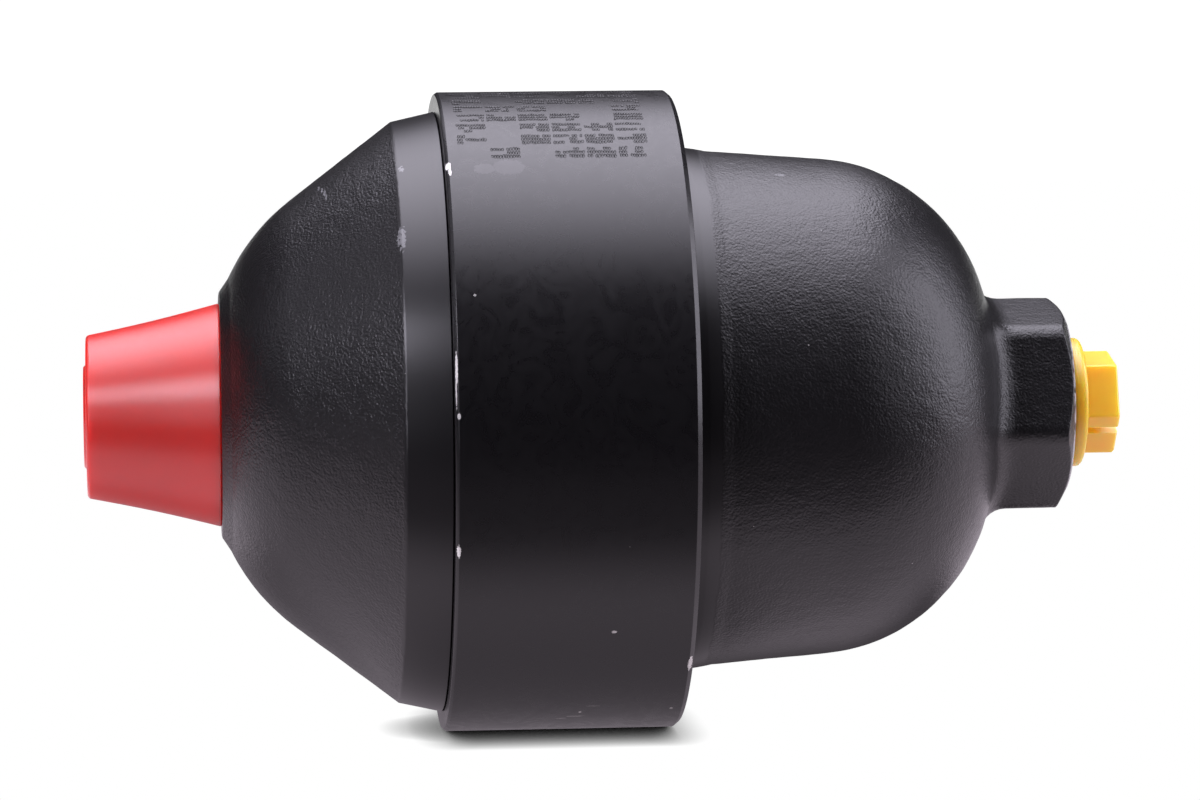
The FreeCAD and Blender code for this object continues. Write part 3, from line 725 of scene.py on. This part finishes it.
def make_fluid_shell(material):
    """Band, drafted forging and dome, with the hexagon boss drawn out of it."""
    forged_start = BAND_END + STEP_LENGTH
    start_radius = FORGED_RADIUS - (DOME_START - forged_start) * math.tan(DRAFT)
    radius = (start_radius - DOME_CENTRE_RADIUS) / math.cos(DRAFT)
    centre = (DOME_START - radius * math.sin(DRAFT), DOME_CENTRE_RADIUS)
    quarter = math.pi / 2
    dome = arc(centre, radius, quarter - DRAFT, quarter - DOME_END_ANGLE, 48)
    dome_end = dome[-1]
    port_face = dome_end[0] + BOSS_LENGTH
    slope = Vector((math.cos(DOME_END_ANGLE), -math.sin(DOME_END_ANGLE)))

    cavity = radius - SHELL_WALL
    cavity_end = centre[0] + cavity
    mouth = DOME_CENTRE_RADIUS + (centre[0] - JOINT_FACE) * math.tan(DRAFT) + cavity / math.cos(DRAFT)
    recess_floor = cavity_end + RECESS_DEPTH
    inside = [
        (port_face - PORT_MOUTH_DEPTH, PORT_BORE),
        (port_face - PORT_DEPTH, PORT_BORE),
        (port_face - PORT_DEPTH, PASSAGE_RADIUS),
        (recess_floor, PASSAGE_RADIUS),
        (recess_floor, RECESS_RADIUS),
        (cavity_end, RECESS_RADIUS),
        *arc(centre, cavity, 0, quarter - DRAFT, 12),
        (JOINT_FACE, mouth),
    ]
    band = rounded([
        (JOINT_FACE, FLANGE_RADIUS, EDGE_ROUND),
        (JOINT_FACE + FLANGE_LENGTH, FLANGE_RADIUS, EDGE_ROUND),
        (JOINT_FACE + FLANGE_LENGTH, BAND_RADIUS, 0),
        (BAND_END - STEP_LEAD, BAND_RADIUS, 0),
    ])
    run = forged_start - BAND_END + STEP_LEAD
    drop = BAND_RADIUS - FORGED_RADIUS
    band += [(BAND_END - STEP_LEAD + run * share, BAND_RADIUS - drop * share * (0.6 + 0.4 * share))
             for share in np.linspace(0, 1, 11)[1:]]
    barrel = [(x, FORGED_RADIUS - (x - forged_start) * math.tan(DRAFT))
              for x in np.linspace(forged_start, DOME_START, 30)[1:-1]]
    before_boss = band + barrel + dome

    sections = []
    for turn in range(SEGMENTS):
        angle = turn * 2 * math.pi / SEGMENTS
        wall = hex_radius(angle - HEX_TURN, HEX_APOTHEM, HEX_CORNER_ROUND)
        root = Vector(dome_end) + slope * ((dome_end[1] - wall) / math.sin(DOME_END_ANGLE))
        lean = math.pi - DOME_END_ANGLE
        reach = HEX_ROOT_ROUND / math.tan(lean / 2)
        hub = (root.x + reach, wall + HEX_ROOT_ROUND)
        cone_to = root - slope * reach
        halfway = tuple(Vector(dome_end).lerp(cone_to, 0.5))
        fillet = arc(hub, HEX_ROOT_ROUND, -math.pi + (quarter - DOME_END_ANGLE), -quarter, 6)
        chamfer_start = port_face - (wall - HEX_FACE_RADIUS) * math.tan(HEX_CHAMFER)
        end = rounded([
            (hub[0], wall, 0),
            (chamfer_start, wall, HEX_EDGE_ROUND),
            (port_face, HEX_FACE_RADIUS, HEX_FACE_ROUND),
            (port_face, PORT_MOUTH_RADIUS, 0),
        ])[1:]
        wall_points = [(hub[0] + (end[0][0] - hub[0]) * share, wall)
                       for share in np.linspace(0, 1, 12)[1:-1]]
        face_middle = (end[-2][0], (end[-2][1] + end[-1][1]) / 2)
        sections.append([*before_boss, halfway, *fillet, *wall_points, *end[:-1], face_middle, end[-1],
                         *inside])
    piece = sweep_round("fluid_forging", sections)

    def forging(place):
        share = step_up(place.x, BAND_END + FLUID_BAND_FADE[0], BAND_END + FLUID_BAND_FADE[1])
        share *= step_up(math.hypot(place.y, place.z), PORT_MOUTH_RADIUS, HEX_FACE_RADIUS)
        share *= 1 - step_up(place.x, port_face - PORT_FACE_FADE[0], port_face - PORT_FACE_FADE[1])
        if share == 0:
            return 0.0
        stretched = Vector((place.x / WRINKLE_STRETCH, place.y, place.z))
        return share * (swells(place, FLUID_SWELLS) + swells(stretched, FLUID_WRINKLES))

    displace(piece, forging)
    stand_in(piece, "fluid_shell", material)


def make_gas_shell(material):
    """Machined band, forged cone and dome, and the gas stub under the cap."""
    band_start = SHOULDER_FACE - GAS_BAND_LENGTH
    band_radius = SHOULDER_RADIUS - GAS_BAND_LENGTH * math.tan(GAS_BAND_ANGLE)
    cone_end = band_start - CONE_RUN * math.cos(CONE_ANGLE)
    cone_end_radius = band_radius - CONE_RUN * math.sin(CONE_ANGLE)
    centre = (cone_end + GAS_DOME_RADIUS * math.sin(CONE_ANGLE),
              cone_end_radius - GAS_DOME_RADIUS * math.cos(CONE_ANGLE))
    face = centre[0] - math.sqrt(GAS_DOME_RADIUS ** 2 - (GAS_FACE_RADIUS - centre[1]) ** 2)
    quarter = math.pi / 2
    face_angle = math.atan2(GAS_FACE_RADIUS - centre[1], face - centre[0])
    dome = arc(centre, GAS_DOME_RADIUS, face_angle, quarter + CONE_ANGLE, 56)
    dome = [(face, GAS_FACE_RADIUS), (face, GAS_FACE_EDGE - 0.4 * MM), (face + 0.1 * MM, GAS_FACE_EDGE),
            *[point for point in dome if point[1] > GAS_FACE_BLEND]]
    cone = [(x, cone_end_radius + (x - cone_end) * math.tan(CONE_ANGLE))
            for x in np.linspace(cone_end, band_start, 46)[1:-1]]
    stub_end = face - STUB_LENGTH
    cavity_floor = face + GAS_END_WALL
    pocket = stub_end + SCREW_POCKET_DEPTH
    outline = [
        (cavity_floor, GAS_HOLE_RADIUS),
        (pocket + SCREW_BORE_DEPTH, GAS_HOLE_RADIUS),
        (pocket + SCREW_BORE_DEPTH, SCREW_BORE_RADIUS),
        (pocket, SCREW_BORE_RADIUS),
        (pocket, SCREW_POCKET_RADIUS),
        (stub_end, SCREW_POCKET_RADIUS),
        (stub_end, STUB_RADIUS - STUB_CHAMFER),
        (stub_end + STUB_CHAMFER, STUB_RADIUS),
        (face - STUB_GROOVE_LENGTH, STUB_RADIUS),
        (face - STUB_GROOVE_LENGTH, STUB_RADIUS - GROOVE_DEPTH),
        (face, STUB_RADIUS - GROOVE_DEPTH),
        *dome,
        *cone,
        *rounded([
            (band_start, band_radius, 0),
            (SHOULDER_EDGE, SHOULDER_RADIUS, 0.15 * MM),
            (SHOULDER_EDGE, THREAD_RADIUS - GROOVE_DEPTH, 0),
        ]),
        (SHOULDER_FACE + GROOVE_LENGTH, THREAD_RADIUS - GROOVE_DEPTH),
        (SHOULDER_FACE + GROOVE_LENGTH, THREAD_RADIUS),
        (JOINT_FACE - THREAD_CHAMFER, THREAD_RADIUS),
        (JOINT_FACE, THREAD_RADIUS - THREAD_CHAMFER),
        (JOINT_FACE, GAS_CAVITY_MOUTH + BEAD_WIDTH),
        (JOINT_FACE - BEAD_DEPTH, GAS_CAVITY_MOUTH + BEAD_WIDTH),
        (JOINT_FACE - BEAD_DEPTH, GAS_CAVITY_MOUTH),
        *arc((cavity_floor + GAS_CAVITY_ROUND, GAS_CAVITY_MOUTH - GAS_CAVITY_ROUND),
             GAS_CAVITY_ROUND, quarter, math.pi, 16),
    ]
    piece = turned("gas_forging", outline)

    def forging(place):
        share = 1 - step_up(place.x, band_start - GAS_BAND_FADE[0], band_start - GAS_BAND_FADE[1])
        share *= step_up(math.hypot(place.y, place.z),
                         GAS_FACE_RADIUS - GAS_FACE_FADE[0], GAS_FACE_RADIUS + GAS_FACE_FADE[1])
        return share * swells(place, GAS_SWELLS) if share else 0.0

    displace(piece, forging)
    stand_in(piece, "gas_shell", material)


def make_gas_cap(material):
    """Tapered plastic cap with a soft edge and a raised disc on its end."""
    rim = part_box("gas_cap")[1].x
    end = rim - CAP_LENGTH
    slope = (CAP_RIM_RADIUS - CAP_END_RADIUS) / CAP_LENGTH
    side = [(rim - CAP_LENGTH * share,
             CAP_RIM_RADIUS - CAP_LENGTH * share * slope - CAP_WAIST * math.sin(math.pi * share), 0)
            for share in np.linspace(0, 1, 9)[1:-1]]
    outline = rounded([
        (rim, CAP_RIM_RADIUS - CAP_WALL - CAP_WAIST, CAP_RIM_ROUND),
        (rim, CAP_RIM_RADIUS, CAP_RIM_ROUND),
        *side,
        (end, CAP_END_RADIUS, CAP_END_ROUND),
        (end, CAP_DISC_RADIUS, CAP_DISC_ROUND),
        (end - CAP_DISC_HEIGHT, CAP_DISC_RADIUS - CAP_DISC_HEIGHT, CAP_DISC_ROUND),
        (end - CAP_DISC_HEIGHT, 0, 0),
        (end + CAP_WALL, 0, 0),
        (end + CAP_WALL, CAP_END_RADIUS - CAP_WALL + CAP_WALL * slope, CAP_INSIDE_ROUND),
    ], steps=5)
    shell = turned("cap_shell", split_long(outline, 3 * MM), CAP_SEGMENTS)
    stand_in(shell, "gas_cap", material)


def apply_modifiers(piece):
    """Makes the piece's modifiers into mesh."""
    graph = bpy.context.evaluated_depsgraph_get()
    mesh = bpy.data.meshes.new_from_object(piece.evaluated_get(graph))
    piece.modifiers.clear()
    piece.data = mesh


def make_port_plug(material):
    """Hollow shank, flange and thin hexagon head with a slot across it."""
    port_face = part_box("fluid_shell")[1].x
    flange = port_face + PLUG_NECK_LENGTH
    hex_start = flange + PLUG_FLANGE_THICKNESS
    hex_end = hex_start + PLUG_HEX_LENGTH
    shank_end = port_face - PLUG_SHANK_LENGTH
    sections = []
    for turn in range(PLUG_SEGMENTS):
        angle = turn * 2 * math.pi / PLUG_SEGMENTS
        wall = hex_radius(angle - PLUG_TURN, PLUG_APOTHEM, PLUG_CORNER_ROUND)
        face_radius = min(PLUG_HEX_FACE_RADIUS, wall - PLUG_LEAST_CHAMFER)
        chamfer_start = hex_end - (wall - face_radius) * math.tan(PLUG_CHAMFER)
        sections.append(rounded([
            (shank_end, 0, 0),
            (shank_end, PLUG_SHANK_RADIUS, PLUG_ROUND),
            (port_face, PLUG_SHANK_RADIUS, 0),
            (port_face, PLUG_NECK_RADIUS, 0),
            (flange, PLUG_NECK_RADIUS, 0),
            (flange, PLUG_FLANGE_RADIUS, PLUG_ROUND),
            (hex_start, PLUG_FLANGE_RADIUS, PLUG_ROUND),
            (hex_start, wall, PLUG_ROOT_ROUND),
            (chamfer_start, wall, PLUG_EDGE_ROUND),
            (hex_end, face_radius, PLUG_EDGE_ROUND),
            (hex_end, PLUG_BORE, PLUG_EDGE_ROUND),
            (shank_end + PLUG_FLOOR, PLUG_BORE, PLUG_ROOT_ROUND),
            (shank_end + PLUG_FLOOR, 0, 0),
        ]))
    piece = sweep_round("plug_moulding", sections)
    cutter_mesh = bpy.data.meshes.new("slot_cutter")
    work = bmesh.new()
    bmesh.ops.create_cube(work, size=1)
    work.to_mesh(cutter_mesh)
    work.free()
    cutter = bpy.data.objects.new("slot_cutter", cutter_mesh)
    bpy.context.scene.collection.objects.link(cutter)
    height = PLUG_HEX_LENGTH + 2 * MM
    cutter.matrix_world = (Matrix.Translation((hex_start + height / 2, 0, 0))
                           @ Matrix.Rotation(SLOT_TURN, 4, "X")
                           @ Matrix.Diagonal((height, 30 * MM, SLOT_WIDTH, 1)))
    bpy.context.view_layer.update()
    cut = piece.modifiers.new("slot", "BOOLEAN")
    cut.operation = "DIFFERENCE"
    cut.object = cutter
    cut.solver = "EXACT"
    apply_modifiers(piece)
    bpy.data.objects.remove(cutter)
    soft = piece.modifiers.new("soft_edges", "BEVEL")
    soft.width = PLUG_SLOT_ROUND
    soft.segments = 2
    soft.limit_method = "ANGLE"
    soft.angle_limit = math.radians(40)
    stand_in(piece, "port_plug", material)


def make_diaphragm(material):
    """The rubber cup, which follows the valve button in its middle and the shells at its rim."""
    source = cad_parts["diaphragm"]
    piece = bpy.data.objects.new("diaphragm_cup", source.data.copy())
    bpy.context.scene.collection.objects.link(piece)
    piece.data.materials.clear()
    piece.data.materials.append(material)
    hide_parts("diaphragm")
    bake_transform(piece)


def finish_node(name, material):
    """A CAD node that stays, with its own finish."""
    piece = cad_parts[name]
    piece.data.materials.clear()
    piece.data.materials.append(material)


def glowing(name, strength):
    """A white material that gives its own light, with its tree and shader."""
    made = bpy.data.materials.new(name)
    made.use_nodes = True
    shader = made.node_tree.nodes["Principled BSDF"]
    shader.inputs["Base Color"].default_value = (0, 0, 0, 1)
    shader.inputs["Specular IOR Level"].default_value = 0
    shader.inputs["Emission Color"].default_value = (1, 1, 1, 1)
    shader.inputs["Emission Strength"].default_value = strength
    return made, made.node_tree, shader


def sheet(name, material, half, near, far):
    """A flat part of the stage. Its near and far edges run along X, each at its (y, z)."""
    corners = [(-half, *near), (half, *near), (half, *far), (-half, *far)]
    mesh = bpy.data.meshes.new(name)
    mesh.from_pydata(corners, [], [(0, 1, 2, 3)])
    mesh.materials.append(material)
    made = bpy.data.objects.new(name, mesh)
    bpy.context.scene.collection.objects.link(made)
    return made


def panel(name, place, size, radiance):
    """A flat soft light of that radiance, turned towards the object."""
    data = bpy.data.lights.new(name, "AREA")
    data.shape = "RECTANGLE"
    data.size, data.size_y = size
    data.energy = radiance * math.pi * size[0] * size[1]
    data.color = PANEL_COLOUR
    light = bpy.data.objects.new(name, data)
    turn = place.to_track_quat("Z", "Y").to_matrix().to_4x4()
    light.matrix_world = Matrix.Translation(place) @ turn
    bpy.context.scene.collection.objects.link(light)


def make_table(level):
    """The white table and backdrop. Only the camera sees the table, whose glow is dimmed near the object by
    ambient occlusion as a painted contact shadow.
    """
    white, tree, shader = glowing("white_table", 1.0)
    # Painted contact shadow: the table's glow fades by ambient occlusion where the object is near
    painted_contact_shadow = node(tree, "ShaderNodeAmbientOcclusion", {"Distance": CONTACT_REACH}, samples=16)
    tree.links.new(painted_contact_shadow.outputs["AO"], shader.inputs["Emission Strength"])
    table = sheet("table", white, TABLE_HALF, (TABLE_NEAR, level), (TABLE_FAR, level))
    table.visible_glossy = False
    table.visible_diffuse = False
    table.visible_shadow = False

    brighter = glowing("white_backdrop", BACKDROP_GLOW)[0]
    sheet("backdrop", brighter, TABLE_HALF,
          (BACKDROP_PLACE, level + BACKDROP_FOOT), (BACKDROP_PLACE, level + BACKDROP_HEIGHT))


def make_table_light(level):
    """The table's light on the object from below, which the camera doesn't see."""
    dimmed, tree, shader = glowing("table_light", 1.0)
    shader.inputs["Emission Color"].default_value = TABLE_COLOUR
    where = node(tree, "ShaderNodeTexCoord").outputs["Object"]
    parts = node(tree, "ShaderNodeSeparateXYZ", {0: where})
    along, depth = parts.outputs["X"], parts.outputs["Y"]
    beside = calc(tree, "ABSOLUTE", along)
    # Less light from close in front of the object, and from far in front
    front = fade(tree, depth, -110 * MM, -60 * MM, 0.2, 1.0)
    front = calc(tree, "MULTIPLY", front, fade(tree, depth, -260 * MM, -180 * MM, 0.2, 1.0))
    # The shade under the nut, and the wider one under and behind the whole length
    middle = fade(tree, beside, 55 * MM, 25 * MM)
    shade = calc(tree, "MULTIPLY", middle, fade(tree, depth, -70 * MM, -20 * MM, 0.1, 0.62))
    ends = fade(tree, beside, 120 * MM, 90 * MM)
    ends = calc(tree, "MULTIPLY", ends, fade(tree, along, -20 * MM, 30 * MM, 0.65, 0.88))
    ends = calc(tree, "MULTIPLY", ends, fade(tree, depth, -20 * MM, 15 * MM))
    shade = calc(tree, "MAXIMUM", shade, ends)
    light = calc(tree, "MULTIPLY", front, calc(tree, "SUBTRACT", 1.0, shade))
    light = calc(tree, "MULTIPLY", light, fade(tree, along, -60 * MM, 60 * MM, 1.0, 0.95))
    tree.links.new(light, shader.inputs["Emission Strength"])
    level -= LIGHT_DROP
    below = sheet("table_light", dimmed, LIGHT_HALF, (LIGHT_NEAR, level), (LIGHT_FAR, level))
    below.visible_camera = False


def make_lights():
    """The overhead arc, the soft boxes and a dim room."""
    for strip in range(ARC_STRIPS):
        share = (2 * strip + 1) / ARC_STRIPS - 1
        angle = ARC_MIDDLE + ARC_REACH * share
        place = Vector((0, -ARC_RADIUS * math.cos(angle), ARC_RADIUS * math.sin(angle)))
        height = ARC_RADIUS * ARC_REACH * 2 / ARC_STRIPS
        panel(f"overhead_{strip}", place, (ARC_WIDTH, height), ARC_RADIANCE * (1 - share ** 2) ** 1.5)
    for name, place, size, radiance in SOFT_BOXES:
        panel(name, Vector(place), size, radiance)
    world = bpy.data.worlds.new("dim_room")
    world.use_nodes = True
    world.node_tree.nodes["Background"].inputs["Color"].default_value = ROOM
    bpy.context.scene.world = world


bpy.context.scene.view_settings.view_transform = "Standard"
make_camera()
smooth_paint = make_smooth_paint()
forged_paint = make_forged_paint()
red = make_plastic("red_polyethylene", RED, RED_REACH, 0.32)
yellow = make_plastic("yellow_polyethylene", YELLOW, YELLOW_REACH, 0.34)
steel = make_steel()
make_union_nut(smooth_paint)
make_fluid_shell(forged_paint)
make_gas_shell(forged_paint)
make_gas_cap(red)
make_port_plug(yellow)
make_diaphragm(make_rubber("nitrile_rubber", 0.02))
finish_node("valve_button", steel)
finish_node("charging_screw", steel)
finish_node("charging_screw_seal", make_rubber("seal_rubber", 0.025))
make_table(-NUT_RADIUS)
make_table_light(-NUT_RADIUS)
make_lights()
